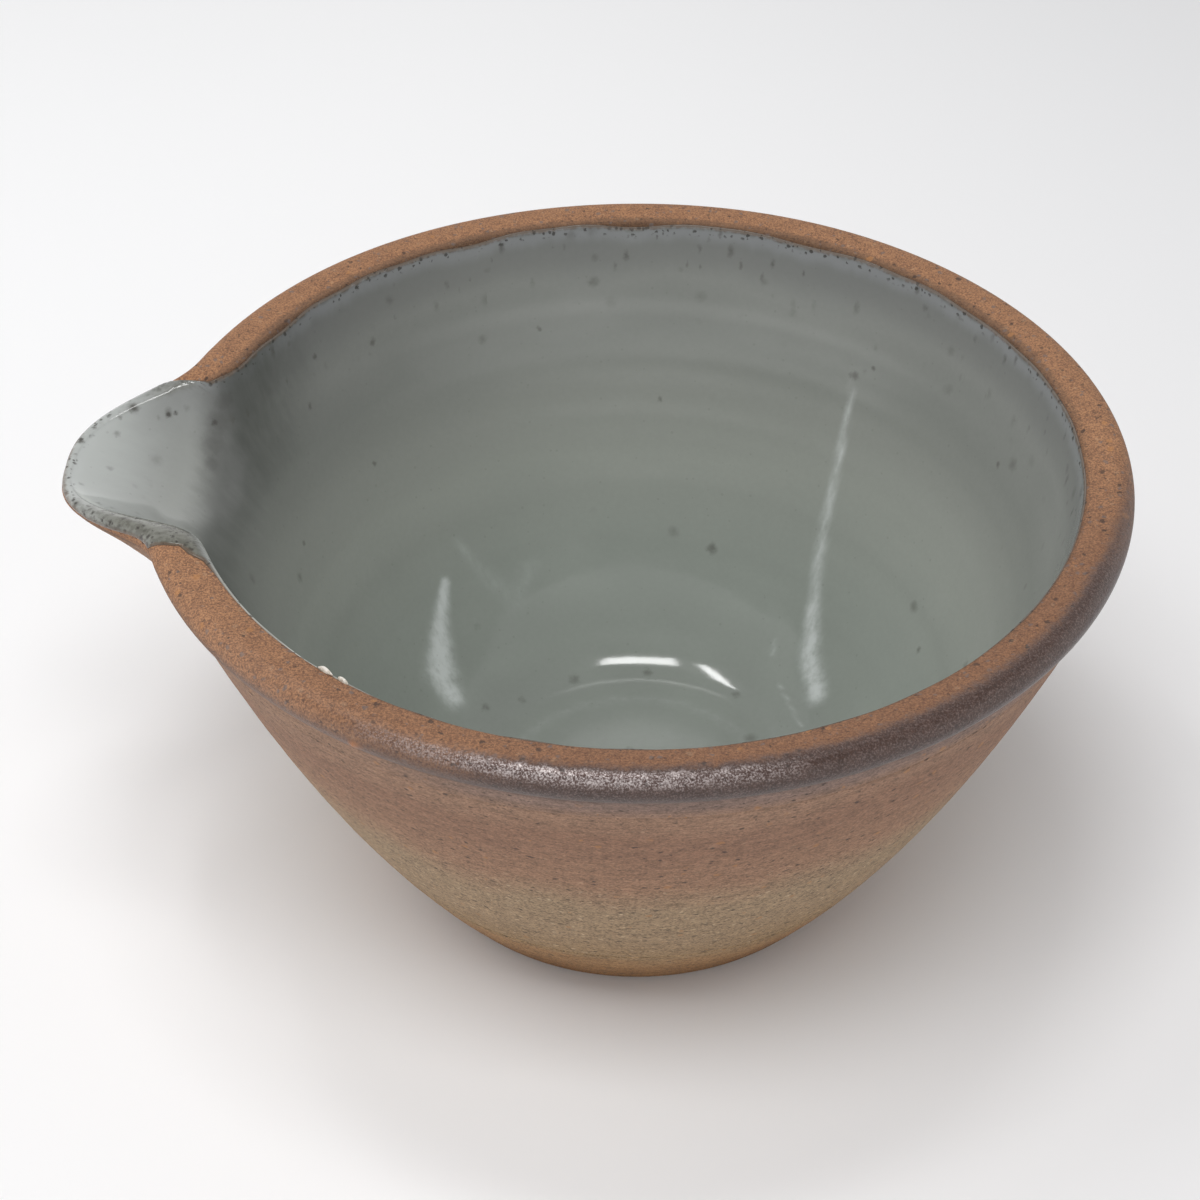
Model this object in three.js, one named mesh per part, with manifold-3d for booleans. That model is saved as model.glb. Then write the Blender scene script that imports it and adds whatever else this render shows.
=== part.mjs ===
// A stoneware pouring bowl: a thrown and turned clay body with a rolled rim, one lip pulled out of
// that rim, a glaze lining, and two crumbs of glaze that melted onto the rim.
// Millimetres, +Z up. The origin is the centre of the foot's underside, on the axis that the bowl
// was thrown about, and the lip points along -X.
import * as THREE from "three";
import { mergeVertices } from "three/addons/utils/BufferGeometryUtils.js";
import Module from "manifold-3d";

// Driving sizes: the thrown wall, from the foot to the neck under the rim
const FOOT_DIAMETER = 100.6;
const FOOT_BEVEL = 0.8;
const BELLY_DIAMETER = 150.6;
const BELLY_HEIGHT = 42.5;
const WALL = 6.5;
const BASE = 8.2;
const WELL_DIAMETER = 68;
const WELL_DISH = 0.6;

// Driving sizes: the line cut round the wall above the foot
const FOOT_LINE_HEIGHT = 21;
const FOOT_LINE_DEPTH = 0.5;
const FOOT_LINE_WIDTH = 1.4;

// Driving sizes: the rolled rim, measured from its inner edge
const RIM_DIAMETER = 200;
const RIM_HEIGHT = 102.9;
const RIM_WIDTH = 9.8;
const RIM_CROWN = 0.9;
const ROLL_RADIUS = 3.4;
const ROLL_OVERHANG = 2.8;
const NECK_DROP = 7.4;
const COVE_BEND = 0.6;
const ROLL_START = -65;

// Driving sizes: the pulled lip. Widths are half widths, along the rim's inner edge.
const LIP_REACH = 25.3;
const LIP_HALF_WIDTH = 40;
const LIP_DROOP = 5;
const DROOP_HALF_WIDTH = 33;
const LIP_EDGE = 1.8;
const PINCH_HALF_WIDTH = 34.6;
const THROAT_DEPTH = 43;

// Driving sizes: the glaze, and the two crumbs of it on the rim
const GLAZE_THICKNESS = 0.8;
const GLAZE_EDGE_THICKNESS = 0.3;
const LARGE_CRUMB_LENGTH = 3.4;
const LARGE_CRUMB_WIDTH = 2.2;
const LARGE_CRUMB_HEIGHT = 1.8;
const LARGE_CRUMB_BEARING = -128.7;
const SMALL_CRUMB_LENGTH = 2.4;
const SMALL_CRUMB_WIDTH = 1.8;
const SMALL_CRUMB_HEIGHT = 1.5;
const SMALL_CRUMB_BEARING = -125.9;
const CRUMB_SUNK = 0.33;

// How each form falls away from its middle: a higher fullness keeps it broad near the middle, and
// a higher fade draws its foot in more gently
const PULL = { fullness: 2.7, fade: 5.7 };
const PINCH = { fullness: 2, fade: 1.9 };
const DROOP = { fullness: 2, fade: 2 };
const THROAT_SWEEP = 3;

// Fineness of the faceted surface
const SEGMENTS = 84;
const CROWDING = 0.58;
const WALL_STEPS = 8;
const INSIDE_STEPS = 9;
const SWEEP_STEPS = 5;
const ROLL_STEPS = 7;
const CROWN_STEPS = 3;
const COVE_STEPS = 2;
const CRUMB_SIDES = 12;
const CRUMB_RINGS = 8;

// The inside follows the wall between these shares of the wall's length, and sweeps into the floor
// below the lower one
const WALL_TOP = 0.9;
const SWEEP_START = 0.36;
const WALL_STATIONS = 4;

const LIP_BEARING = Math.PI;
const MERGE_DISTANCE = 1e-3;

const v2 = (r, z) => new THREE.Vector2(r, z);

// The wall's outside is one parabola from the bevel of the foot to the neck. It passes the belly
// halfway, which sets the point that its ends' tangents meet at.
const foot = v2(FOOT_DIAMETER / 2, FOOT_BEVEL);
const belly = v2(BELLY_DIAMETER / 2, BELLY_HEIGHT);
const neck = v2(RIM_DIAMETER / 2 - ROLL_OVERHANG, RIM_HEIGHT - NECK_DROP);
const chordMiddle = foot.clone().lerp(neck, 0.5);
const bulge = chordMiddle.lerp(belly, 2);
const wallCurve = new THREE.QuadraticBezierCurve(foot, bulge, neck);

// The share of the wall curve at which it reaches a height
function shareAtHeight(height) {
  const a = foot.y - 2 * bulge.y + neck.y;
  const b = 2 * (bulge.y - foot.y);
  const c = foot.y - height;
  return (-b + Math.sqrt(b * b - 4 * a * c)) / (2 * a);
}

// A point inside the wall, by its depth from the outside along the wall's normal
function inset(share, depth) {
  const tangent = wallCurve.getTangent(share);
  const inward = v2(-tangent.y, tangent.x);
  return wallCurve.getPoint(share).addScaledVector(inward, depth);
}

// The outside of the wall, with the foot line cut into it
function outsideWall() {
  const middle = shareAtHeight(FOOT_LINE_HEIGHT);
  const halfLine = FOOT_LINE_WIDTH / 2 / wallCurve.getLength();
  const line = [
    inset(middle - halfLine, 0),
    inset(middle, FOOT_LINE_DEPTH),
    inset(middle + halfLine, 0),
  ];
  const steps = Array.from({ length: WALL_STEPS + 1 }, (_, i) => i / WALL_STEPS);
  const below = steps.filter((share) => share < middle - 2 * halfLine);
  const above = steps.filter((share) => share > middle + 2 * halfLine);
  return [...below.map((s) => inset(s, 0)), ...line, ...above.map((s) => inset(s, 0))];
}

// The rolled rim, from the cove over the neck, round the roll and along the crown to the rim's
// inner edge
const innerEdge = v2(RIM_DIAMETER / 2 - RIM_WIDTH, RIM_HEIGHT);
const rollCentre = v2(RIM_DIAMETER / 2 - ROLL_RADIUS, RIM_HEIGHT + RIM_CROWN - ROLL_RADIUS);

function rolledRim() {
  const start = THREE.MathUtils.degToRad(ROLL_START);
  const circle = new THREE.EllipseCurve(
    rollCentre.x,
    rollCentre.y,
    ROLL_RADIUS,
    ROLL_RADIUS,
    start,
    Math.PI / 2,
  );
  const underside = circle.getPoint(0);
  const top = circle.getPoint(1);
  const cove = new THREE.QuadraticBezierCurve(neck, v2(neck.x + COVE_BEND, underside.y), underside);
  const crownBend = v2((innerEdge.x + top.x) / 2, top.y);
  const crown = new THREE.QuadraticBezierCurve(top, crownBend, innerEdge);
  return [
    ...cove.getPoints(COVE_STEPS).slice(1),
    ...circle.getPoints(ROLL_STEPS).slice(1),
    ...crown.getPoints(CROWN_STEPS).slice(1),
  ];
}

// The inside, from the rim's inner edge down the wall and into the well of the floor. The cover is
// the thickness of glaze that lies over the clay.
function inside(cover) {
  const depth = WALL + cover;
  const floor = BASE + cover;
  const edgeCover = Math.min(cover, GLAZE_EDGE_THICKNESS);
  const stations = [v2(innerEdge.x - edgeCover, innerEdge.y)];
  for (let i = 0; i <= WALL_STATIONS; i++)
    stations.push(inset(THREE.MathUtils.lerp(WALL_TOP, SWEEP_START, i / WALL_STATIONS), depth));
  const wall = new THREE.SplineCurve(stations);

  const from = stations.at(-1);
  const down = wallCurve.getTangent(SWEEP_START).negate();
  const corner = from.clone().addScaledVector(down, (from.y - floor) / -down.y);
  const wellEdge = v2(WELL_DIAMETER / 2, floor);
  const sweep = new THREE.QuadraticBezierCurve(from, corner, wellEdge);
  return [
    ...wall.getPoints(INSIDE_STEPS),
    ...sweep.getPoints(SWEEP_STEPS).slice(1),
    v2(0, floor - WELL_DISH),
  ];
}

// 1 in the middle of the lip, falling smoothly to 0 at its half width along the rim
function fall(bearing, halfWidth, { fullness, fade }) {
  const turn = Math.atan2(Math.sin(bearing - LIP_BEARING), Math.cos(bearing - LIP_BEARING));
  const along = (Math.abs(turn) * innerEdge.x) / halfWidth;
  return along < 1 ? (1 - along ** fullness) ** fade : 0;
}

// 1 at the rim, sweeping to 0 at the bottom of the lip's throat
function throat(height, top) {
  const bottom = RIM_HEIGHT - THROAT_DEPTH;
  return height > bottom ? ((height - bottom) / (top - bottom)) ** THROAT_SWEEP : 0;
}

// Where the rim goes at a bearing: its inner edge is drawn out and down, and the roll outside that
// edge is pinched thinner towards the lip's edge
function pulledRim(point, bearing) {
  const pull = LIP_REACH * fall(bearing, LIP_HALF_WIDTH, PULL);
  const droop = LIP_DROOP * fall(bearing, DROOP_HALF_WIDTH, DROOP);
  const thinning = 1 - LIP_EDGE / RIM_WIDTH;
  const pinch = 1 - thinning * fall(bearing, PINCH_HALF_WIDTH, PINCH);
  return v2(
    innerEdge.x + pull + pinch * (point.x - innerEdge.x),
    innerEdge.y - droop + pinch * (point.y - innerEdge.y),
  );
}

// Where a point of the round profile goes when the lip is pulled. The wall under the rim follows
// it, less and less down the throat. The depth is the height of the clay that carries the point.
function pulled({ part, point, depth }, bearing) {
  if (part === "rim") return pulledRim(point, bearing);
  const anchor = part === "outside" ? neck : innerEdge;
  const move = pulledRim(anchor, bearing).sub(anchor);
  return point.clone().addScaledVector(move, throat(depth, anchor.y));
}

// Bearings crowd towards the lip, where the form changes most
function bearingAt(segment) {
  const turn = (2 * Math.PI * segment) / SEGMENTS;
  return LIP_BEARING + turn - CROWDING * Math.sin(turn);
}

const run = (part, points, carriers = points) =>
  points.map((point, i) => ({ part, point, depth: carriers[i].y }));

// A closed lathe form with the lip pulled out of it. Its profile runs from one end on the axis to
// the other, and rises at the points whose facets are split along their other diagonal.
function throwForm(profile, rises = () => false) {
  const rows = profile.length;
  const geometry = new THREE.LatheGeometry(profile.map(({ point }) => point), SEGMENTS);
  const position = geometry.getAttribute("position");
  const index = [];
  for (let segment = 0; segment <= SEGMENTS; segment++) {
    const bearing = bearingAt(segment);
    profile.forEach((entry, row) => {
      const at = pulled(entry, bearing);
      const corner = segment * rows + row;
      position.setXYZ(corner, at.x * Math.cos(bearing), at.x * Math.sin(bearing), at.y);
      if (segment === SEGMENTS || row === rows - 1) return;
      const [a, b, c, d] = [corner, corner + rows, corner + rows + 1, corner + 1];
      if (rises(row)) index.push(a, b, c, a, c, d);
      else index.push(a, b, d, c, d, b);
    });
  }
  geometry.setIndex(index);
  geometry.computeVertexNormals();
  return geometry;
}

// The clay body: foot, wall, rolled rim, lip and inside in one closed profile
const clayInside = inside(0);
const bodyGeometry = throwForm([
  ...run("outside", [v2(0, 0), v2(FOOT_DIAMETER / 2 - FOOT_BEVEL, 0), ...outsideWall()]),
  ...run("rim", rolledRim()),
  ...run("inside", clayInside.slice(1)),
]);

// The glaze lies on the clay's own inside, face to face, so both use the same points and facets
// there. The profile climbs the clay and comes back down over the glaze.
const climb = clayInside.slice().reverse();
const liningGeometry = throwForm(
  [...run("inside", climb), ...run("inside", inside(GLAZE_THICKNESS), clayInside)],
  (row) => row < climb.length - 1,
);

// Solids that cut or are cut
const wasm = await Module();
wasm.setup();

function solidOf(geometry) {
  const bare = geometry.clone();
  bare.deleteAttribute("normal");
  bare.deleteAttribute("uv");
  const merged = mergeVertices(bare, MERGE_DISTANCE);
  return new wasm.Manifold(
    new wasm.Mesh({
      numProp: 3,
      vertProperties: merged.getAttribute("position").array,
      triVerts: new Uint32Array(merged.getIndex().array),
    }),
  );
}

function geometryOf(solid) {
  const mesh = solid.getMesh();
  const geometry = new THREE.BufferGeometry();
  geometry.setAttribute("position", new THREE.BufferAttribute(mesh.vertProperties, 3));
  geometry.setIndex(new THREE.BufferAttribute(mesh.triVerts, 1));
  geometry.computeVertexNormals();
  return geometry;
}

// A crumb of glaze is a flattened drop, sunk into the rim's inner edge, with the clay and the
// lining cut out of it so that it sits on both
const pot = solidOf(bodyGeometry).add(solidOf(liningGeometry));

function crumbGeometry(bearing, length, width, height) {
  const turn = THREE.MathUtils.degToRad(bearing);
  const edge = pulledRim(innerEdge, turn);
  const drop = new THREE.SphereGeometry(0.5, CRUMB_SIDES, CRUMB_RINGS);
  drop.scale(width, length, height);
  drop.rotateZ(turn);
  const rise = height * (0.5 - CRUMB_SUNK);
  drop.translate(edge.x * Math.cos(turn), edge.x * Math.sin(turn), edge.y + rise);
  return geometryOf(solidOf(drop).subtract(pot));
}

const stoneware = new THREE.MeshStandardMaterial({
  name: "stoneware",
  color: 0x876c5c,
  roughness: 0.8,
  metalness: 0,
});
const glaze = new THREE.MeshStandardMaterial({
  name: "grey_green_glaze",
  color: 0x868b83,
  roughness: 0.22,
  metalness: 0,
});

function piece(name, geometry, material) {
  const mesh = new THREE.Mesh(geometry, material);
  mesh.name = name;
  return mesh;
}

const largeCrumb = crumbGeometry(
  LARGE_CRUMB_BEARING,
  LARGE_CRUMB_LENGTH,
  LARGE_CRUMB_WIDTH,
  LARGE_CRUMB_HEIGHT,
);
const smallCrumb = crumbGeometry(
  SMALL_CRUMB_BEARING,
  SMALL_CRUMB_LENGTH,
  SMALL_CRUMB_WIDTH,
  SMALL_CRUMB_HEIGHT,
);

const bowl = new THREE.Group();
bowl.name = "pouring_bowl";
bowl.add(piece("stoneware_body", bodyGeometry, stoneware));
bowl.add(piece("glaze_lining", liningGeometry, glaze));
bowl.add(piece("glaze_crumb_large", largeCrumb, glaze));
bowl.add(piece("glaze_crumb_small", smallCrumb, glaze));

export default bowl;
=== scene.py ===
# %% [markdown]
# # A lipped stoneware pouring bowl
# The bowl was thrown on a wheel from coarse brown clay, turned on the outside, and given one
# pouring lip by drawing the soft rim out with a finger. Only the inside is glazed. It could be
# sculpted freely, but a pot is a line turned about an axis, and it is made in that way here. The
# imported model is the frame: it fixes every size, and what is made here is laid over it.

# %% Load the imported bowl
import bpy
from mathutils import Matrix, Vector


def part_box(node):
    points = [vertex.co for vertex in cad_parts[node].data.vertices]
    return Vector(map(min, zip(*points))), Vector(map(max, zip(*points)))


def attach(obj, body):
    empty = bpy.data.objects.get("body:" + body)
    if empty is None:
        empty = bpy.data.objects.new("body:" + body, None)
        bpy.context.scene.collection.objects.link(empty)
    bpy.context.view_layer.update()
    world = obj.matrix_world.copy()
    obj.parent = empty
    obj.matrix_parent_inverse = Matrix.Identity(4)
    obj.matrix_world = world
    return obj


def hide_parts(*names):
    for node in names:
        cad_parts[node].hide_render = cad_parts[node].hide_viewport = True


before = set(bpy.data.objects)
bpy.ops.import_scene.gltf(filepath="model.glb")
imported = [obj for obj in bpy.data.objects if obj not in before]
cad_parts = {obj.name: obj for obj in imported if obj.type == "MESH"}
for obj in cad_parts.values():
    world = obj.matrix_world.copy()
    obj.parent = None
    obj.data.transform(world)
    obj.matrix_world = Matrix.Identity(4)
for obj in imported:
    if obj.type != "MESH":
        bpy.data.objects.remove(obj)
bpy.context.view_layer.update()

# %% Tools and units
import math

import bmesh
import bpy
import numpy as np
from mathutils import Matrix, Vector

MM = 0.001
CHANCE = np.random.default_rng(11)

# %% [markdown]
# ## The camera
# A product photographer stood in front of the bowl and looked down at it with a short telephoto
# lens. A camera placed by eye would make every size look a little wrong. So its place, its aim
# and its small roll, in millimetres and degrees in the bowl's own frame, were found by fitting
# the rim, the foot and the wall's outline. Everything is drawn sharp.

# %% Camera
CAMERA_PLACE = Vector((0.0, -415.0, 398.2))
CAMERA_AIM = Vector((-8.2, 22.9, 45.0))
CAMERA_ROLL = math.radians(-0.33)
LENS = 75.0
FILM_WIDTH = 36.0

lens = bpy.data.cameras.new("camera")
lens.lens = LENS
lens.sensor_width = FILM_WIDTH
lens.clip_start = 0.01
camera = bpy.data.objects.new("camera", lens)
bpy.context.scene.collection.objects.link(camera)
bpy.context.scene.camera = camera
level = (CAMERA_AIM - CAMERA_PLACE).to_track_quat("-Z", "Y").to_matrix()
turned = level @ Matrix.Rotation(CAMERA_ROLL, 3, "Z")
camera.matrix_world = Matrix.Translation(CAMERA_PLACE * MM) @ turned.to_4x4()
print("camera", [round(c, 3) for c in camera.matrix_world.translation])

# %% [markdown]
# ## The sizes
# The frame gives the overall sizes. The rest are the potter's: foot, belly, neck under the rim,
# roll, and how far and how wide the lip was drawn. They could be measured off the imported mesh,
# but sizes with names are easier to read and to change. They repeat the driving sizes of the
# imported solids, in millimetres, so the dressed pot lies on them.

# %% Overall sizes from the frame
body_low, body_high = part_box("stoneware_body")
RIM_RADIUS = body_high.x / MM
RIM_TOP = body_high.z / MM
LIP_END = -body_low.x / MM
print(f"rim radius {RIM_RADIUS:.1f}, rim top {RIM_TOP:.1f}, lip to {LIP_END:.1f} mm")

# %% The thrown wall and floor, with points as radius and height
FOOT = np.array([50.3, 0.8])
FOOT_BEVEL = 0.8
BELLY = np.array([75.3, 42.5])
WALL = 6.5
BASE = 8.2
WELL_RADIUS = 34.0
WELL_DISH = 0.6
WALL_TOP = 0.9
SWEEP_START = 0.36
WALL_STATIONS = 5
print(f"foot {2 * FOOT[0]:.0f} mm across, wall {WALL} mm, floor {BASE} mm thick")

# %% The rolled rim
RIM_WIDTH = 9.8
RIM_CROWN = 0.9
ROLL_RADIUS = 3.4
ROLL_OVERHANG = 2.8
NECK_DROP = 7.4
COVE_BEND = 0.6
ROLL_START = math.radians(-65)
INNER_EDGE = np.array([RIM_RADIUS - RIM_WIDTH, RIM_TOP - RIM_CROWN])
NECK = np.array([RIM_RADIUS - ROLL_OVERHANG, INNER_EDGE[1] - NECK_DROP])
ROLL_CENTRE = np.array([RIM_RADIUS - ROLL_RADIUS, RIM_TOP - ROLL_RADIUS])
print("inner edge", INNER_EDGE.round(1), "neck", NECK.round(1))

# %% The pulled lip
LIP_BEARING = math.pi
LIP_EDGE = 1.8
LIP_REACH = LIP_END - INNER_EDGE[0] - LIP_EDGE
LIP_DROOP = 5.0
THROAT_DEPTH = 43.0
THROAT_SWEEP = 3
PULL = {"half_width": 40.0, "fullness": 2.7, "fade": 5.7}
DROOP = {"half_width": 33.0, "fullness": 2.0, "fade": 2.0}
PINCH = {"half_width": 34.6, "fullness": 2.0, "fade": 1.9}
print(f"the lip's inner edge is drawn out by {LIP_REACH:.1f} mm")

# %% [markdown]
# ## The line of the pot
# A potter checks a pot against a profile, and this script makes the pot from one. One line is
# drawn on paper, from under the foot, up the outside, over the rim and down the inside, and then
# turned about the axis. It could be a long list of points, but a few curves are smoother, and the
# wall keeps its thickness because its inside is measured from its outside.

# %% Curves for the profile
PITCH = 0.1


def bend(start, corner, end, steps=60):
    """A curve that leaves start towards corner and comes to end from it."""
    share = np.linspace(0, 1, steps)[:, None]
    return (1 - share) ** 2 * start + 2 * share * (1 - share) * corner + share**2 * end


def straight(start, end, steps=2):
    """A straight run."""
    share = np.linspace(0, 1, steps)[:, None]
    return (1 - share) * np.array(start) + share * np.array(end)


def smooth_through(points, steps=24):
    """A smooth curve through every point, with its ends held as they lie."""
    held = [points[0], *points, points[-1]]
    runs = []
    for before, start, end, after in zip(held, held[1:], held[2:], held[3:]):
        share = np.linspace(0, 1, steps, endpoint=False)[:, None]
        leave = (end - before) / 2
        arrive = (after - start) / 2
        cubic = 2 * start - 2 * end + leave + arrive
        square = 3 * end - 3 * start - 2 * leave - arrive
        runs.append(cubic * share**3 + square * share**2 + leave * share + start)
    return np.concatenate([*runs, [points[-1]]])


# %% The wall's own curve
wall_corner = 2 * BELLY - (FOOT + NECK) / 2
outside = bend(FOOT, wall_corner, NECK, 200)


def inside_wall(share):
    """A point of the clay's inside, one wall thickness in from the outside."""
    at = (1 - share) ** 2 * FOOT + 2 * share * (1 - share) * wall_corner + share**2 * NECK
    along = (1 - share) * (wall_corner - FOOT) + share * (NECK - wall_corner)
    along = along / np.linalg.norm(along)
    return at + WALL * np.array([-along[1], along[0]]), along


print("the wall's curve turns towards", wall_corner.round(1))

# %% The rim, the inside and the floor
turn = np.linspace(ROLL_START, math.pi / 2, 60)[:, None]
roll = ROLL_CENTRE + ROLL_RADIUS * np.hstack([np.cos(turn), np.sin(turn)])
cove = bend(NECK, np.array([NECK[0] + COVE_BEND, roll[0, 1]]), roll[0])
crown = bend(roll[-1], np.array([(INNER_EDGE[0] + roll[-1, 0]) / 2, RIM_TOP]), INNER_EDGE)
rim = np.concatenate([cove[1:], roll[1:], crown[1:]])

stations = [INNER_EDGE]
stations += [inside_wall(s)[0] for s in np.linspace(WALL_TOP, SWEEP_START, WALL_STATIONS)]
upper_inside = smooth_through(stations)
downhill = -inside_wall(SWEEP_START)[1]
reach_floor = (stations[-1][1] - BASE) / -downhill[1]
sweep = bend(stations[-1], stations[-1] + reach_floor * downhill, np.array([WELL_RADIUS, BASE]))
inside = np.concatenate([upper_inside[1:], sweep[1:]])
print("profile points", len(outside) + len(rim) + len(inside))

# %% [markdown]
# ## How the lip was drawn out
# When the rim was still soft, one finger drew it outwards between two others. The rim's inner
# edge went furthest, the roll was pinched thinner, and the wall below followed less and less down
# the throat. A finished mesh could be pulled about with a brush, but then the clay and the glaze
# would part. So each point of the profile gets an anchor on the rim and the share of the anchor's
# move that it follows, and everything on the pot is placed by this one rule.


# %% Rules of the pull
def fall(bearing, half_width, fullness, fade):
    """1 in the middle of the lip, down to 0 at a half width along the rim."""
    turn = np.abs(np.angle(np.exp(1j * (bearing - LIP_BEARING))))
    along = np.minimum(turn * INNER_EDGE[0] / half_width, 1)
    return (1 - along**fullness) ** fade


def pulled_rim(r, z, bearing):
    """Where a point of the rim goes at a bearing."""
    pinch = 1 - (1 - LIP_EDGE / RIM_WIDTH) * fall(bearing, **PINCH)
    reach = LIP_REACH * fall(bearing, **PULL)
    droop = LIP_DROOP * fall(bearing, **DROOP)
    out = INNER_EDGE[0] + reach + pinch * (r - INNER_EDGE[0])
    up = INNER_EDGE[1] - droop + pinch * (z - INNER_EDGE[1])
    return out, up


def follow(z, top):
    """The share of the rim's move that the wall follows at a height."""
    bottom = INNER_EDGE[1] - THROAT_DEPTH
    return (np.maximum(z - bottom, 0) / (top - bottom)) ** THROAT_SWEEP


lip_r, lip_z = pulled_rim(*INNER_EDGE, LIP_BEARING)
print(f"the inner edge ends {lip_r:.1f} mm out and {lip_z:.1f} mm up at the lip")


# %% The whole line of the clay
def tied(points, anchor):
    """Profile points as rows of r, z, anchor r, anchor z and the share followed."""
    share = follow(points[:, 1:], anchor[1])
    return np.hstack([points, np.tile(anchor, (len(points), 1)), share])


def free(points):
    """Profile points of the rim, each its own anchor."""
    return np.hstack([points, points, np.ones((len(points), 1))])


PAST_AXIS = 4.0
under = straight((-PAST_AXIS, 0), (FOOT[0] - FOOT_BEVEL, 0))
floor_line = np.array([[0, BASE - WELL_DISH], [-PAST_AXIS, BASE - WELL_DISH]])
clay_line = np.concatenate(
    [tied(np.concatenate([under, outside]), NECK), free(rim), tied(inside, INNER_EDGE)]
    + [tied(floor_line, INNER_EDGE)]
)
print("points on the clay's line", len(clay_line))

# %% [markdown]
# ## Soft edges
# No edge of a fired pot is sharp: wet fingers and the kiln round every corner by about half a
# millimetre. A bevel would do it edge by edge. Here the whole line is divided finely and averaged
# with its neighbours, which rounds the foot's bevel and the rim's inner edge by the same small
# amount. It runs a little past the axis at both ends, so the averaging doesn't pull them in.

# %% Round the line's corners
EDGE_SOFTNESS = 0.45


def lengths_along(points):
    """The distance travelled to each point of a line."""
    steps = np.linalg.norm(np.diff(points[:, :2], axis=0), axis=1)
    return np.concatenate([[0], np.cumsum(steps)])


def divided(line, at):
    """The line's columns read at distances along it."""
    travelled = lengths_along(line)
    return np.stack([np.interp(at, travelled, column) for column in line.T], axis=-1)


clay_line = divided(clay_line, np.arange(0, lengths_along(clay_line)[-1], PITCH))
reach = np.arange(-3 * EDGE_SOFTNESS, 3 * EDGE_SOFTNESS + PITCH, PITCH)
weight = np.exp(-0.5 * (reach / EDGE_SOFTNESS) ** 2)
weight /= weight.sum()
soft = np.stack([np.convolve(c, weight, "same") for c in clay_line.T], axis=-1)
margin = len(reach)
soft = soft[margin:-margin]
clay_line = soft[soft[:, 0] >= 0]
clay_line[[0, -1], 0] = 0
print("points on the softened line", len(clay_line))

# %% Distances along the line, from the rim's inner edge
travelled = lengths_along(clay_line)
gap = np.linalg.norm(clay_line[:, :2] - INNER_EDGE, axis=1)
travelled -= travelled[gap.argmin()]
LINE_START = travelled[0]
LINE_END = travelled[-1]
print(f"line from {LINE_START:.1f} to {LINE_END:.1f} mm, 0 at the rim's inner edge")


def clay_at(distance):
    """Rows of the line at distances from the inner edge: outside negative, inside positive."""
    return np.stack([np.interp(distance, travelled, c) for c in clay_line.T], axis=-1)


def outside_at(height):
    """The distance along the line at which the outside reaches a height."""
    on_wall = (travelled < 0) & (clay_line[:, 1] > 0.01) & (clay_line[:, 1] < NECK[1])
    return np.interp(height, clay_line[on_wall, 1], travelled[on_wall])


def inside_at(height):
    """The distance along the line at which the inside reaches a height."""
    on_wall = travelled > 0
    return np.interp(-height, -clay_line[on_wall, 1], travelled[on_wall])


# %% [markdown]
# ## A hand-made round
# A thrown rim is never a true circle. It wanders by a few tenths of a millimetre, in and out and
# up and down, most at the top and not at all at the foot. Noise on the finished surfaces would
# give that too, but moving the line itself keeps the glaze lying on the clay.

# %% Turn the line about the axis
WOBBLE_OUT = 0.22
WOBBLE_UP = 0.16
COLUMNS = 480
CROWDING = 0.58

turns = 2 * math.pi * np.arange(COLUMNS) / COLUMNS
bearings = LIP_BEARING + turns - CROWDING * np.sin(turns)
bearing_from_lip = np.degrees(np.angle(np.exp(1j * (bearings - LIP_BEARING))))


def wander(waves, seed_waves=5):
    """A smooth wandering value round the pot, about -1 to 1, in so many waves and more."""
    heights = CHANCE.normal(size=seed_waves) / math.sqrt(seed_waves)
    starts = CHANCE.uniform(0, 2 * math.pi, seed_waves)
    counts = waves + np.arange(seed_waves)
    return (heights[:, None] * np.sin(counts[:, None] * bearings + starts[:, None])).sum(0)


wobble_out = WOBBLE_OUT * wander(2)
wobble_up = WOBBLE_UP * wander(2)
print(f"the rim wanders out by {wobble_out.max():.2f} and up by {wobble_up.max():.2f} mm")


def thrown(rows):
    """Points in space for rows of the line at every bearing, in millimetres."""
    r, z, anchor_r, anchor_z, share = np.moveaxis(rows, -1, 0)
    rim_r, rim_z = pulled_rim(anchor_r, anchor_z, bearings)
    loose = np.clip(z / RIM_TOP, 0, 1) ** 2
    out = np.maximum(r + (rim_r - anchor_r) * share, 0)
    out = out + wobble_out * loose * np.clip(r / BELLY[0], 0, 1)
    up = z + (rim_z - anchor_z) * share + wobble_up * loose
    return np.stack([out * np.cos(bearings), out * np.sin(bearings), up], axis=-1)


def facing(surface):
    """The outward direction at every point of a thrown surface."""
    along = np.gradient(surface, axis=0)
    around = np.roll(surface, -1, axis=1) - np.roll(surface, 1, axis=1)
    out = np.cross(around, along)
    out[0] = out[1].mean(0)
    out[-1] = out[-2].mean(0)
    return out / np.linalg.norm(out, axis=-1, keepdims=True)


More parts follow.
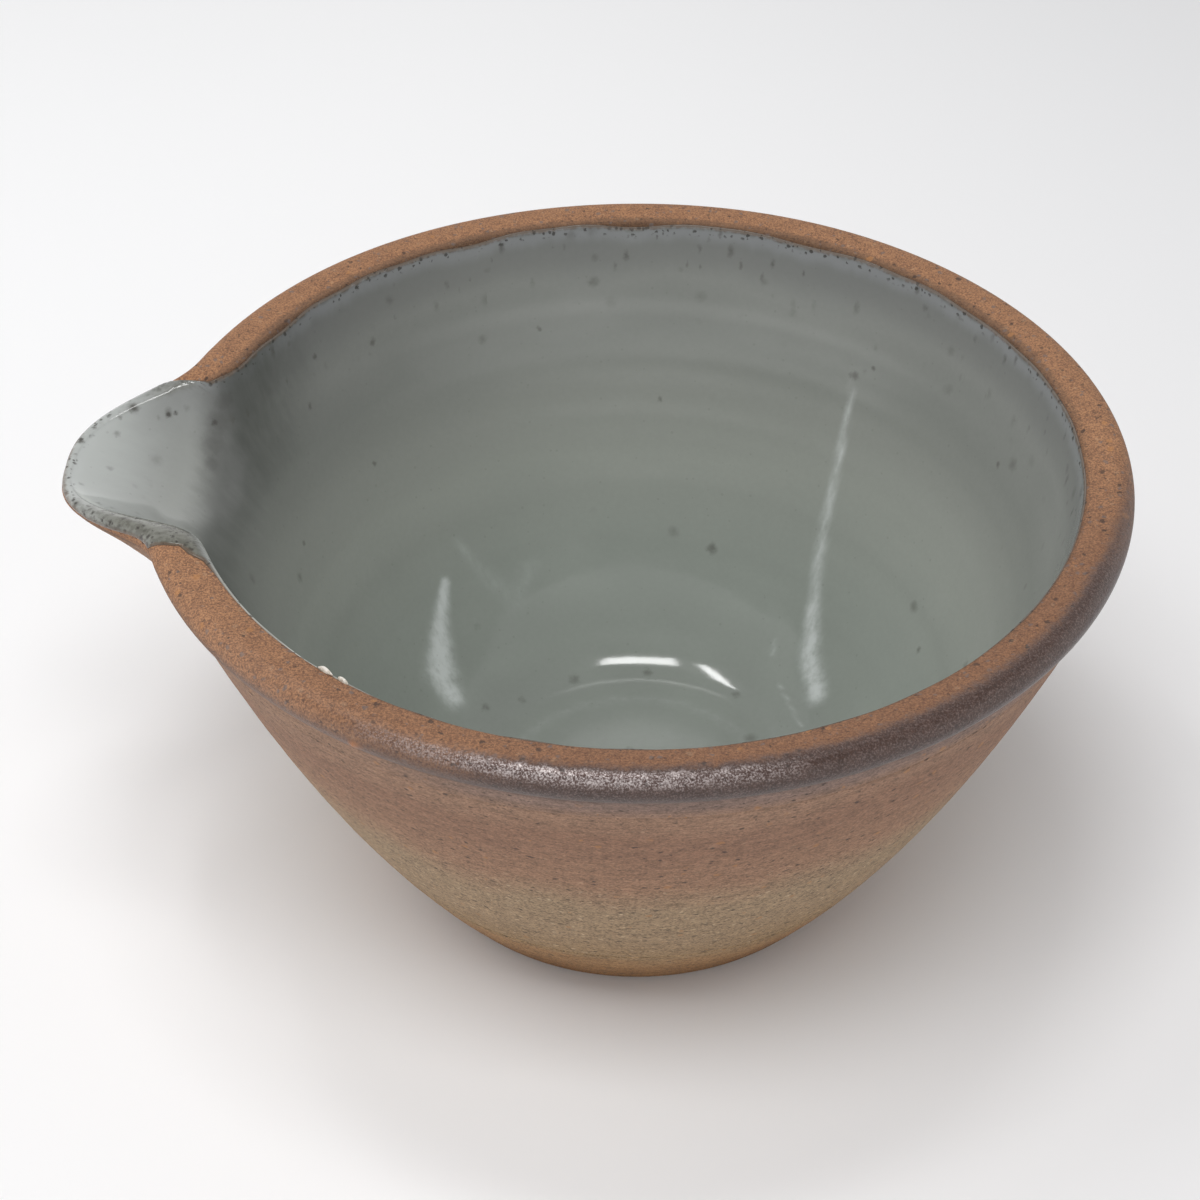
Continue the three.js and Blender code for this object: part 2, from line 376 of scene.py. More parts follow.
# %% Make a mesh of a thrown surface
def pot_mesh(name, surface, marks):
    """A closed mesh from rows of points round the axis. Its first and last rows are one point."""
    rows, columns = surface.shape[:2]
    ring = np.arange(1, (rows - 2) * columns + 1).reshape(rows - 2, columns)
    nxt = np.roll(ring, -1, axis=1)
    last = (rows - 2) * columns + 1
    quads = np.stack([ring[:-1], nxt[:-1], nxt[1:], ring[1:]], axis=-1).reshape(-1, 4)
    start = np.stack([np.zeros_like(ring[0]), nxt[0], ring[0]], axis=-1)
    end = np.stack([ring[-1], nxt[-1], np.full_like(ring[0], last)], axis=-1)
    points = np.concatenate([surface[0, :1], surface[1:-1].reshape(-1, 3), surface[-1, :1]])
    mesh = bpy.data.meshes.new(name)
    mesh.from_pydata((points * MM).tolist(), [], start.tolist() + quads.tolist() + end.tolist())
    mesh.polygons.foreach_set("use_smooth", np.ones(len(mesh.polygons), bool))
    for mark, values in marks.items():
        spread = np.broadcast_to(values, (rows, columns))
        flat = np.concatenate([spread[0, :1], spread[1:-1].ravel(), spread[-1, :1]])
        layer = mesh.attributes.new(mark, "FLOAT", "POINT")
        layer.data.foreach_set("value", flat.astype(np.float32))
    piece = bpy.data.objects.new(name, mesh)
    bpy.context.scene.collection.objects.link(piece)
    print(name, len(points), "points", len(mesh.polygons), "faces")
    return piece


# %% [markdown]
# ## Marks of the tools on the clay
# Outside, the turning tool left fine rings that come and go, a scored line round the wall above
# the foot, and a finer one just under the rim. One small pebble pushed up through the roll. All
# this could be drawn in the finish alone. As real grooves and ridges, measured in hundredths of a
# millimetre, they catch the light from any side.

# %% Where the rows go
GROOVE_HEIGHT = 91.2
FOOT_LINE_HEIGHT = 21.0
s_foot = outside_at(FOOT[1])
s_foot_line = outside_at(FOOT_LINE_HEIGHT)
s_groove = outside_at(GROOVE_HEIGHT)
s_neck = outside_at(NECK[1])


def paced(*stops):
    """Distances from the first stop to the last. Each later stop says how closely to pace."""
    runs = []
    for (start, _), (end, pace) in zip(stops, stops[1:]):
        count = max(int(round(abs(end - start) / pace)), 1)
        runs.append(np.linspace(start, end, count, endpoint=False))
    return np.concatenate([*runs, [stops[-1][0]]])


body_rows = paced(
    (LINE_START, 0),
    (s_foot - 4, 5.0),
    (s_foot + 1, 0.2),
    (s_foot_line - 1.5, 0.6),
    (s_foot_line + 1.5, 0.15),
    (s_groove - 1.2, 0.6),
    (s_groove + 1.2, 0.12),
    (s_neck, 0.5),
    (-1.5, 0.3),
    (1.5, 0.15),
    (LINE_END - WELL_RADIUS, 1.6),
    (LINE_END, 4.0),
)
print("rows of clay", len(body_rows))

# %% Grooves, rings and lumps, as heights in millimetres
TURNING_RINGS = 0.035
FOOT_LINE_DEPTH = 0.45
FOOT_LINE_WIDTH = 0.42
GROOVE_DEPTH = 0.16
GROOVE_WIDTH = 0.3
GROOVE_BURR = 0.05


def ridge(distance, middle, half_width):
    """A smooth ridge of height 1 across the line."""
    return np.exp(-(((distance - middle) / half_width) ** 2))


def rings(distance, shortest, longest, count, spiral):
    """Rings of many widths laid over each other, each fading in and out as it goes round."""
    total = 0
    for length in np.geomspace(shortest, longest, count):
        start, drift, fade = CHANCE.uniform(0, 2 * math.pi, 3)
        phase = 2 * math.pi * distance / length + start + spiral * bearings
        here = 0.6 + 0.4 * np.sin(2 * bearings + drift)
        total = total + here * np.sin(phase + 0.5 * np.sin(bearings + fade)) * length**0.6
    return total / count


s_rows = body_rows[:, None]
on_wall = 1 / (1 + np.exp((s_rows - s_neck + 1) / 0.5)) / (1 + np.exp((s_foot + 2 - s_rows) / 0.6))
relief = TURNING_RINGS * rings(s_rows, 1.3, 16, 16, 0) * on_wall
foot_line = s_foot_line + 0.25 * wander(2)
relief = relief - FOOT_LINE_DEPTH * ridge(s_rows, foot_line, FOOT_LINE_WIDTH)
groove_comes_and_goes = 0.6 + 0.4 * wander(1)
relief = relief - GROOVE_DEPTH * groove_comes_and_goes * ridge(s_rows, s_groove, GROOVE_WIDTH)
relief = relief + GROOVE_BURR * ridge(s_rows, s_groove + 0.8, 0.4)
print(f"relief from {relief.min():.2f} to {relief.max():.2f} mm")

# %% A pebble in the clay
PEBBLE_BEARING = math.radians(-120)
PEBBLE_AT = -12.5
PEBBLE_RADIUS = 0.9
PEBBLE_HEIGHT = 0.35
off_pebble = np.angle(np.exp(1j * (bearings - PEBBLE_BEARING))) * RIM_RADIUS
pebble = np.exp(-((off_pebble / PEBBLE_RADIUS) ** 2)) * ridge(s_rows, PEBBLE_AT, PEBBLE_RADIUS)
relief = relief + PEBBLE_HEIGHT * pebble
print("the pebble stands proud by", PEBBLE_HEIGHT, "mm")

# %% The clay body, with its foot ground flat
GROUND_FLAT = 0.02
clay_surface = thrown(clay_at(s_rows + 0 * bearings))
clay_surface = clay_surface + facing(clay_surface) * relief[..., None]
clay_surface[clay_surface[..., 2] < GROUND_FLAT, 2] = 0
body = pot_mesh(
    "thrown_clay_body",
    clay_surface,
    {"across_rim": -s_rows, "pebble": pebble},
)
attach(body, "root")
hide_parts("stoneware_body")

# %% [markdown]
# ## The coat of glaze
# Glaze was poured in, swirled and poured out over the lip. On the wall it is 0.8 mm thick. It
# thins to 0.3 mm at the rim's inner edge, where the potter wiped it back, but beside the lip it
# was left to run over the rim's shoulders, further on the near side than on the far side. It
# could be a second colour on the clay. As a skin of its own, its upper edge can slide over the
# rim, and that edge is a rounded bead, because melted glaze draws itself up.

# %% Where the coat's edge runs, as degrees from the lip and the share of the rim it covers
NEAR_SHOULDER = [(18.5, 1.0), (19.5, 0.8), (20.5, 0.6), (21.0, 0.4), (23.0, 0.3), (24.5, 0.13)]
NEAR_SHOULDER += [(28.0, 0.05), (52.0, 0.03), (56.0, 0.0)]
FAR_SHOULDER = [(13.0, 1.0), (14.5, 0.5), (15.5, 0.0)]
SIDE_OF_ROLL = math.radians(12)
film_reach = (math.pi / 2 - SIDE_OF_ROLL) * ROLL_RADIUS + lengths_along(crown)[-1]
from_lip = np.abs(bearing_from_lip)
near_side = bearing_from_lip > 0
near_covers = np.interp(from_lip, *zip(*NEAR_SHOULDER))
far_covers = np.interp(from_lip, *zip(*FAR_SHOULDER))
covers = np.where(near_side, near_covers, far_covers)
edge_wander = 0.35 * wander(9, 24)
coat_edge = 0.25 + edge_wander * (1 + 2 * covers) - film_reach * covers
print(f"the coat's edge runs {-coat_edge.min():.1f} mm over the rim at the lip")

# %% The coat's underside, on the clay
FROM_EDGE = paced((0, 0), (1.2, 0.1), (20, 0.5), (100, 1.0), (130, 1.6))
share_down = FROM_EDGE / FROM_EDGE[-1]
s_coat = coat_edge + (LINE_END - coat_edge) * share_down[:, None]
under_coat = thrown(clay_at(s_coat))
coat_facing = facing(under_coat)
steps_down = np.linalg.norm(np.diff(under_coat, axis=0), axis=-1)
from_edge = np.concatenate([np.zeros((1, COLUMNS)), np.cumsum(steps_down, axis=0)])
print("rows of glaze", len(under_coat))

# %% How thick the coat lies
GLAZE_THICKNESS = 0.8
EDGE_THICKNESS = 0.3
THICKENS_OVER = 16.0
BEAD = 0.8
SHOULDER_BEAD = 1.7
SHOULDER_EXTRA = 0.22


def ease(value):
    """0 to 1 with a soft start and end."""
    value = np.clip(value, 0, 1)
    return value * value * (3 - 2 * value)


bead_width = BEAD + (SHOULDER_BEAD - BEAD) * ease(2 * covers)
bead = np.sqrt(1 - (1 - np.minimum(from_edge / bead_width, 1)) ** 2)
thickness = EDGE_THICKNESS + (GLAZE_THICKNESS - EDGE_THICKNESS) * ease(s_coat / THICKENS_OVER)
thickness = bead * (thickness + SHOULDER_EXTRA * ease(2 * covers) * ease(-s_coat / 2))
print(f"coat {thickness[1:].min():.2f} to {thickness.max():.2f} mm thick")

# %% [markdown]
# ## Throwing rings and runs in the glaze
# Fingers left a spiral of low rings in the soft clay, and they show through the glaze as faint
# bands. A few are stronger. There is a long pale run on the right, started by an iron spot, and a
# paler pool on the left where the wall meets the floor. The pool and the wide foot of the run are
# partly pale glaze and partly a painted reflection. Along the near side a pale line shows where
# the coat turns over the rim's inner edge. Colour alone could show them, but the rings and runs
# also bend what the glaze mirrors. So they are raised a little, and a mark on each point tells the
# finish how strong they are.

# %% Rings under the glaze, and the strong ones as height and relief
THROWING_RINGS = 0.03
STRONG_RINGS = {97.0: 0.04, 71.5: 0.08, 44.0: 0.12}
STRONG_RING_WIDTH = 3.0
away_from_edge = ease((s_coat - 3) / 12)
settles = ease((LINE_END - s_coat - 12) / 14)
ring_relief = THROWING_RINGS * rings(s_coat, 5, 26, 9, 1) * away_from_edge
for height, raised in STRONG_RINGS.items():
    strong = ridge(s_coat, inside_at(height), STRONG_RING_WIDTH)
    ring_relief = ring_relief + raised * strong * away_from_edge
ring_relief = ring_relief * settles
print(f"rings from {ring_relief.min():.2f} to {ring_relief.max():.2f} mm")

# %% Milky runs and pools, partly painted reflection, by bearing in degrees, height, and half width in millimetres
RUN_RIGHT = [(53, 77, 0.6), (52, 66, 1.1), (51, 55, 1.4), (50, 45, 1.7)]
RUN_RIGHT += [(48, 35, 1.9), (45, 27, 2.1), (40, 19, 2.9), (31, 15, 3.0)]
POOL_AND_REFLECTION_LEFT = [(136, 33, 1.4), (143, 25, 3.0), (149, 19, 4.6), (151, 15, 3.4)]
FORK_LEFT = [(130, 40, 1.6), (125, 29, 2.8), (121, 24, 3.4), (115, 29, 3.0)]
FLECK_RIGHT = [(51, 18, 0.8), (50, 16, 1.2)]
THREAD_RIGHT = [(43, 12.5, 0.6), (34, 11, 0.8), (26, 10.5, 0.6)]
FAINT_RUNS = [(FORK_LEFT, 0.26), (FLECK_RIGHT, 0.35), (THREAD_RIGHT, 0.35)]
WELL_RING = 30.5
WELL_RING_WIDTH = 2.2
MILK_RAISED = 0.08


def on_inside(bearing, height):
    """The point of the clay's inside at a bearing in degrees and a height."""
    r = clay_at(inside_at(height))[0]
    turn = math.radians(bearing)
    return np.array([r * math.cos(turn), r * math.sin(turn), height])


def painted_run(stops):
    """How strongly a run of glaze shows at every point of the coat."""
    strongest = np.zeros(under_coat.shape[:2])
    for start, end in zip(stops, stops[1:]):
        a, b = on_inside(*start[:2]), on_inside(*end[:2])
        along = np.clip(((under_coat - a) @ (b - a)) / ((b - a) @ (b - a)), 0, 1)
        off = np.linalg.norm(under_coat - a - along[..., None] * (b - a), axis=-1)
        half_width = start[2] + (end[2] - start[2]) * along
        strongest = np.maximum(strongest, np.exp(-((off / half_width) ** 2)))
    return strongest


# The run's wide foot and the pool on the left are partly pale glaze and partly a painted
# reflection.
milky = np.maximum(0.65 * painted_run(RUN_RIGHT), 0.9 * painted_run(RUN_RIGHT[-3:]))
milky = np.maximum(milky, 0.95 * painted_run(POOL_AND_REFLECTION_LEFT))
for faint, strength in FAINT_RUNS:
    milky = np.maximum(milky, strength * painted_run(faint))
milky = np.maximum(milky, 0.2 * ridge(s_coat, LINE_END - WELL_RING, WELL_RING_WIDTH))
print(f"milk shows on {np.mean(milky > 0.1):.1%} of the coat's points")

# %% A pale line where the coat turns over the rim's inner edge, on the near side
PALE_EDGE = [(3.0, 0.0), (8.0, 1.0), (52.0, 1.0), (60.0, 0.0)]
pale_edge = ridge(s_coat, 0.3, 0.55) * near_side * np.interp(from_lip, *zip(*PALE_EDGE))
print(f"the pale line shows on {np.mean(pale_edge.max(0) > 0.1):.0%} of the bearings")

# %% The finished coat, sunk a little into the clay so that no gap shows
SUNK = 0.15
GRIT_FROM_LIP = [(-14.0, 0.6), (-11.0, 0.12), (5.0, 0.12), (13.0, 1.0)]
over_rim = ease(-s_coat / 2)
gritty = over_rim * np.interp(bearing_from_lip, *zip(*GRIT_FROM_LIP))
lift = thickness + ring_relief + MILK_RAISED * milky
coat_top = under_coat + coat_facing * lift[..., None]
coat_under = under_coat - coat_facing * (SUNK * np.minimum(from_edge / 0.3, 1))[..., None]
coat_surface = np.concatenate([coat_under[:0:-1], coat_top])


def both_sides(mark):
    """A mark for the underside's points and then the top's."""
    return np.concatenate([mark[:0:-1], mark])


coat = pot_mesh(
    "glaze_coat",
    coat_surface,
    {
        "from_edge": both_sides(from_edge),
        "over_rim": both_sides(over_rim),
        "gritty": both_sides(gritty),
        "milky": both_sides(milky),
        "ring": both_sides(ring_relief),
        "pale_edge": both_sides(pale_edge),
    },
)
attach(coat, "root")
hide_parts("glaze_lining")

# %% [markdown]
# ## Two crumbs of glaze
# Two white crumbs melted onto the rim's inner edge in the kiln. Plain balls would look like
# beads, and a real crumb is a rough sliver lying along the edge. So each starts as a ball cut
# into many faces, is cut flat by a few broad facets, made slim, turned along the edge, and
# pressed to the size and place of its solid in the frame.


# %% Crumbs
FACETS = 14
FACET_DEPTHS = (0.7, 0.95)
SHARPNESS = 9


def crumb(name, node, slimness):
    """A rough sliver along the rim's edge that fills the box of its node."""
    low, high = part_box(node)
    middle = (low + high) / 2
    half = (high - low) / 2
    facets = CHANCE.normal(size=(FACETS, 3))
    facets /= np.linalg.norm(facets, axis=1, keepdims=True)
    depths = CHANCE.uniform(*FACET_DEPTHS, FACETS)
    ball = bmesh.new()
    bmesh.ops.create_icosphere(ball, subdivisions=5, radius=1.0)
    along_edge = Matrix.Rotation(math.atan2(middle.y, middle.x) + math.pi / 2, 3, "Z")
    for vertex in ball.verts:
        out = np.array(vertex.co)
        cuts = depths / np.maximum(facets @ out, 0.01)
        nearness = np.exp(-SHARPNESS * np.minimum(cuts, 3)).sum() + math.exp(-SHARPNESS)
        size = -math.log(nearness) / SHARPNESS
        sliver = Vector(out * size)
        sliver.y *= slimness
        vertex.co = along_edge @ sliver
    reach = [max(abs(vertex.co[k]) for vertex in ball.verts) for k in range(3)]
    for vertex in ball.verts:
        vertex.co = middle + Vector(vertex.co[k] / reach[k] * half[k] for k in range(3))
    mesh = bpy.data.meshes.new(name)
    ball.to_mesh(mesh)
    ball.free()
    mesh.polygons.foreach_set("use_smooth", np.ones(len(mesh.polygons), bool))
    piece = bpy.data.objects.new(name, mesh)
    bpy.context.scene.collection.objects.link(piece)
    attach(piece, "root")
    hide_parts(node)
    print(name, "half sizes", [round(h / MM, 2) for h in half], "mm")
    return piece


crumbs = [
    crumb("large_white_crumb", "glaze_crumb_large", 0.22),
    crumb("small_white_crumb", "glaze_crumb_small", 0.3),
]

# %% [markdown]
# ## Writing finishes as sums
# A finish is a graph of small nodes, and most of them are sums. They could be placed and linked
# one by one, but a sum that can be read is easier to change. The class below wraps one socket of
# such a graph, so that a Python sum of sockets adds the nodes for it. A second class holds one
# finish and its colour so far, and its one method `node` adds any other kind of node.


# %% A socket that can stand in a sum
class Wire:
    """One value that changes over a surface."""

    def __init__(self, finish, socket):
        self.finish = finish
        self.socket = socket

    def sum(self, operation, first, second):
        inputs = {"Value": first, "Value_001": second}
        return self.finish.node("ShaderNodeMath", {"operation": operation}, inputs)

    def __add__(self, other):
        return self.sum("ADD", self, other)

    def __radd__(self, other):
        return self.sum("ADD", other, self)

    def __sub__(self, other):
        return self.sum("SUBTRACT", self, other)

    def __rsub__(self, other):
        return self.sum("SUBTRACT", other, self)

    def __mul__(self, other):
        return self.sum("MULTIPLY", self, other)

    def __rmul__(self, other):
        return self.sum("MULTIPLY", other, self)

    def __truediv__(self, other):
        return self.sum("DIVIDE", self, other)

    def __rtruediv__(self, other):
        return self.sum("DIVIDE", other, self)

    def __pow__(self, other):
        return self.sum("POWER", self, other)

    def most(self, other):
        return self.sum("MAXIMUM", self, other)


# %% A finish and its one way to add a node
class Finish:
    """The nodes of a material or the room, with its main shader, and its colour so far."""

    def __init__(self, owner, main="Principled BSDF"):
        owner.use_nodes = True
        self.owner = owner
        self.tree = owner.node_tree
        self.shader = self.tree.nodes[main]
        self.colour = None

    def node(self, kind, settings=None, inputs=None, output=0):
        """Adds a node: its settings first, then the values or wires of its sockets."""
        made = self.tree.nodes.new(kind)
        for setting, value in (settings or {}).items():
            if setting == "stops":
                self.set_stops(made.color_ramp, value)
            else:
                setattr(made, setting, value)
        for name, value in (inputs or {}).items():
            self.feed(made, name, value)
        found = [s for s in made.outputs if s.identifier == output]
        return Wire(self, found[0] if found else made.outputs[output])

    def feed(self, node, name, value):
        """Sets or links one socket, found by its identifier."""
        socket = next(s for s in node.inputs if s.identifier == name)
        if isinstance(value, Wire):
            self.tree.links.new(value.socket, socket)
        else:
            socket.default_value = value

    def set_stops(self, ramp, stops):
        """Gives a colour ramp its stops, as place and colour."""
        while len(ramp.elements) < len(stops):
            ramp.elements.new(1.0)
        for element, (place, colour) in zip(ramp.elements, stops):
            element.position = place
            element.color = colour

    def surface(self, **sockets):
        """Sets the main shader's sockets, with spaces written as underscores."""
        for name, value in sockets.items():
            self.feed(self.shader, name.replace("_", " "), value)


# %% Paint, and the place on a piece
def paint(code):
    """The linear colour of a six-digit code, as it is seen on a screen."""
    channels = [int(code[i : i + 2], 16) / 255 for i in (0, 2, 4)]
    linear = [c / 12.92 if c <= 0.04045 else ((c + 0.055) / 1.055) ** 2.4 for c in channels]
    return (*linear, 1.0)


def place_in_mm(finish):
    """The place on the piece, in millimetres."""
    place = finish.node("ShaderNodeTexCoord", output="Object")
    settings = {"operation": "SCALE"}
    return finish.node("ShaderNodeVectorMath", settings, {"Vector": place, "Scale": 1 / MM})


def split(place):
    """The three parts of a place."""
    parts = place.finish.node("ShaderNodeSeparateXYZ", inputs={"Vector": place})
    return [Wire(place.finish, s) for s in parts.socket.node.outputs]


def stretched(place, x, y, z):
    """A place multiplied along each axis."""
    inputs = {"Vector": place, "Vector_001": (x, y, z)}
    return place.finish.node("ShaderNodeVectorMath", {"operation": "MULTIPLY"}, inputs)


# %% Noise, slopes and marks
def cloud(place, size, detail=2.0, roughness=0.5):
    """Soft noise from 0 to 1, with features of a size in millimetres."""
    inputs = {"Vector": place, "Scale": 1 / size, "Detail": detail, "Roughness": roughness}
    return place.finish.node("ShaderNodeTexNoise", inputs=inputs)


def rise(value, low, high):
    """0 below low, 1 above high, with a soft slope between."""
    settings = {"interpolation_type": "SMOOTHSTEP"}
    inputs = {"Value": value, "From Min": low, "From Max": high}
    return value.finish.node("ShaderNodeMapRange", settings, inputs)


def mark(finish, name):
    """A mark that was put on the mesh's points."""
    return finish.node("ShaderNodeAttribute", {"attribute_name": name}, output="Fac")


# %% Layers of colour, and a bumpy surface
def laid_over(finish, mask, below, above, how="MIX"):
    """One colour over another where the mask is 1."""
    settings = {"data_type": "RGBA", "blend_type": how}
    inputs = {"Factor_Float": mask, "A_Color": below, "B_Color": above}
    return finish.node("ShaderNodeMix", settings, inputs, "Result_Color")


def colour_at(finish, paints, value):
    """The colour at a value from 0 to 1, between paints given as place and code."""
    stops = [(place, paint(code)) for place, code in paints]
    return finish.node("ShaderNodeValToRGB", {"stops": stops}, {"Fac": value}, "Color")


def lay(finish, mask, above, how="MIX"):
    """Lays a colour over the finish's colour so far, where the mask is 1."""
    finish.colour = laid_over(finish, mask, finish.colour, above, how)


def grey(value):
    """A value as a grey colour, to multiply with."""
    inputs = {"Red": value, "Green": value, "Blue": value}
    return value.finish.node("ShaderNodeCombineColor", inputs=inputs)


def bumpy(height):
    """The facing of a surface that rises and falls by a height in millimetres."""
    inputs = {"Height": height * MM, "Strength": 1.0, "Distance": 1.0}
    return height.finish.node("ShaderNodeBump", inputs=inputs)


def so_far(finish, step):
    """Prints how large a finish is after a step."""
    print(f"{finish.owner.name}, {step}: {len(finish.tree.nodes)} nodes so far")


# %% Ragged outlines and specks
def ragged(place, amount, size):
    """A place pushed about a little, so that what is drawn there has a ragged outline."""
    node = place.finish.node
    inputs = {"Vector": place, "Scale": 1 / size, "Detail": 2.0}
    push = node("ShaderNodeTexNoise", inputs=inputs, output="Color")
    inputs = {"Vector": push, "Vector_001": (0.5, 0.5, 0.5)}
    even = node("ShaderNodeVectorMath", {"operation": "SUBTRACT"}, inputs)
    inputs = {"Vector": even, "Scale": amount}
    scaled = node("ShaderNodeVectorMath", {"operation": "SCALE"}, inputs)
    inputs = {"Vector": place, "Vector_001": scaled}
    return node("ShaderNodeVectorMath", {"operation": "ADD"}, inputs)


def specks(place, cell, radius, share, soft=0.25):
    """Grains scattered through the clay, one to a cell, of which only a share show."""
    finish = place.finish
    inputs = {"Vector": place, "Scale": 1 / cell}
    settings = {"voronoi_dimensions": "3D"}
    distance = finish.node("ShaderNodeTexVoronoi", settings, inputs, "Distance")
    cells = distance.socket.node.outputs["Color"]
    chance = finish.node("ShaderNodeSeparateColor", inputs={"Color": Wire(finish, cells)})
    drawn, other = [Wire(finish, s) for s in chance.socket.node.outputs][:2]
    size = (radius / cell) * (0.45 + 0.9 * other)
    inside = 1 - rise(distance / size, 0.8 - soft, 0.8 + soft)
    return inside * rise(drawn, 1 - share, 1 - share + 0.02)


# %% [markdown]
# ## The bare stoneware
# Iron in the clay burned to brown, redder near the rim where the flame touched it and olive
# towards the foot. The turning tool dragged the coarse grains, so the wall has fine level
# scratches, dark iron specks and pale grog. Along the near side of the rim the flame laid ash
# that melted to a dark skin, and the rim's top stayed orange. The glints of light on that glossy
# skin are painted highlights: a fine pale grain in the colour, thickest in a band along the near
# roll, with a little metal in its shine. A picture of clay would stretch at the lip and show a
# seam, so the grain is worked out in three dimensions.

# %% Clay: place and grain
clay = Finish(bpy.data.materials.new("bare_stoneware"))
clay_place = place_in_mm(clay)
clay_x, clay_y, clay_z = split(clay_place)
across = mark(clay, "across_rim")
ragged_clay = ragged(clay_place, 1.3, 1.1)
drawn_level = stretched(clay_place, 1, 1, 1.5)
patches = cloud(clay_place, 26, 3) - 0.5
blotch = cloud(clay_place, 2.4, 3, 0.6) - 0.5
sand = cloud(clay_place, 0.42, 4, 0.8) - 0.5
fine_grain = cloud(drawn_level, 0.6, 4, 0.75) - 0.5
coarse_grain = cloud(drawn_level, 2.4, 3, 0.6) - 0.5
scratches = cloud(stretched(clay_place, 0.1, 0.1, 2.0), 1, 3, 0.7) - 0.5
bands = cloud(stretched(clay_place, 0.006, 0.006, 0.16), 1, 2) - 0.5
so_far(clay, "grain")

# %% Clay: the colour from foot to rim
WALL_PAINTS = [
    (0.00, "805a33"),
    (0.15, "99754f"),
    (0.20, "937857"),
    (0.34, "988064"),
    (0.48, "978065"),
    (0.60, "94725a"),
    (0.78, "8a6853"),
    (0.88, "94745e"),
    (1.00, "907058"),
]
uneven = clay_z / RIM_TOP + 0.16 * patches + 0.10 * bands
clay.colour = colour_at(clay, WALL_PAINTS, uneven)
so_far(clay, "foot to rim")

# %% Clay: the orange top of the rim, and painted shade under the roll
ORANGE = paint("a37856")
RUSSET = paint("775441")
on_rim = rise(across, -4, -3) * (1 - rise(across, 14.0, 16.5))
far_side = rise(clay_y, -20, 40)
rim_colour = laid_over(clay, rise(sand + 0.12 * blotch, -0.13, 0.10), RUSSET, ORANGE)
inner_line = 1 - rise(across + blotch, 0.9, 2.4)
outer_line = rise(across + blotch, 8.6, 10.6)
darker_lines = far_side * inner_line.most(outer_line)
rim_colour = laid_over(clay, 0.6 * darker_lines, rim_colour, paint("5f4a3b"))
lay(clay, on_rim, rim_colour)
# Painted shade: the colour is darker under the roll, and over the near side's outer roll.
shade_under_roll = rise(across, 12.8, 14.0) * (1 - rise(across, 15.6, 17.4))
lay(clay, 0.6 * shade_under_roll, paint("4f3a2e"))
shade_on_near_roll = rise(0 - clay_y, 25, 75) * rise(across, 10.4, 12.4)
lay(clay, 0.6 * shade_on_near_roll * on_rim, paint("4a352b"))
so_far(clay, "rim")

# %% Clay: the flashed side of the rim
FLASH_BEARING = math.radians(-62)
SHINE_BEARING = math.radians(-88)
HIGHLIGHT_BEARING = math.radians(-95)


def toward(bearing):
    """How far a point of the clay lies towards a bearing, where the rim itself is at 1."""
    return (clay_x * math.cos(bearing) + clay_y * math.sin(bearing)) / RIM_RADIUS


flash_side = rise(toward(FLASH_BEARING) + 0.3 * patches, 0.36, 0.86)
shine_side = rise(toward(SHINE_BEARING) + 0.2 * patches, 0.35, 0.85)
flash_edge = across + 4.0 * blotch + 2.4 * flash_side
flashed = flash_side * rise(flash_edge, 6.6, 9.6) * (1 - rise(across, 14.2, 17.0))
shine_edge = rise(across + 3 * blotch, 4.8, 7.4) * (1 - rise(across, 12, 16))
shiny = flashed.most(shine_side * shine_edge)
flash_colour = laid_over(clay, 0.5 + 1.0 * blotch, paint("2e211d"), paint("46342f"))
warm_side = flash_side.most(0.6 * shine_side)
lay(clay, 0.55 * warm_side * on_rim, paint("694938"))
lay(clay, 0.94 * flashed, flash_colour)
halo = flash_side * rise(clay_z, 90, 95) * (1 - on_rim)
lay(clay, 0.5 * halo, paint("6f6465"))
so_far(clay, "flash")

# %% Clay: a painted highlight, pale glints along the near side of the rim
# Painted highlight: a band of pale glints along the near roll, where its glossy skin catches the
# light.
highlight_place = across + 1.4 * blotch
painted_highlight = rise(highlight_place, 6.2, 8.0) * (1 - rise(highlight_place, 8.8, 10.8))
painted_highlight = painted_highlight * rise(toward(HIGHLIGHT_BEARING) + 0.1 * patches, 0.88, 1.0)
glint_grain = cloud(clay_place, 0.36, 3, 0.7)
painted_glints = rise(glint_grain + 0.35 * blotch, 0.40, 0.68)
highlight_colour = laid_over(clay, painted_glints, paint("5f4b47"), paint("e6dcda"))
so_far(clay, "painted_highlight")

# %% Clay: the tone of the grain, and painted glints over it
low_wall = 1 - rise(clay_z, 45, 75)
tone = 1 + (1.9 + 1.2 * low_wall) * fine_grain + 1.0 * coarse_grain + 0.7 * scratches
rim_sand = 1.7 * sand * (1 - 0.6 * far_side)
rim_tone = 1 + rim_sand + 0.3 * blotch - 0.3 * (1 - rise(across, 0.1, 0.9))
tone = tone + on_rim * (rim_tone - tone)
lay(clay, 1.0, grey(tone.most(0.3)), "MULTIPLY")
# Painted glints: pale specks over the flashed skin.
painted_flash_glints = flashed * rise(glint_grain, 0.44, 0.68)
lay(clay, 0.3 * painted_flash_glints, paint("a08e8a"))
lay(clay, 0.85 * painted_highlight, highlight_colour)
so_far(clay, "tone")

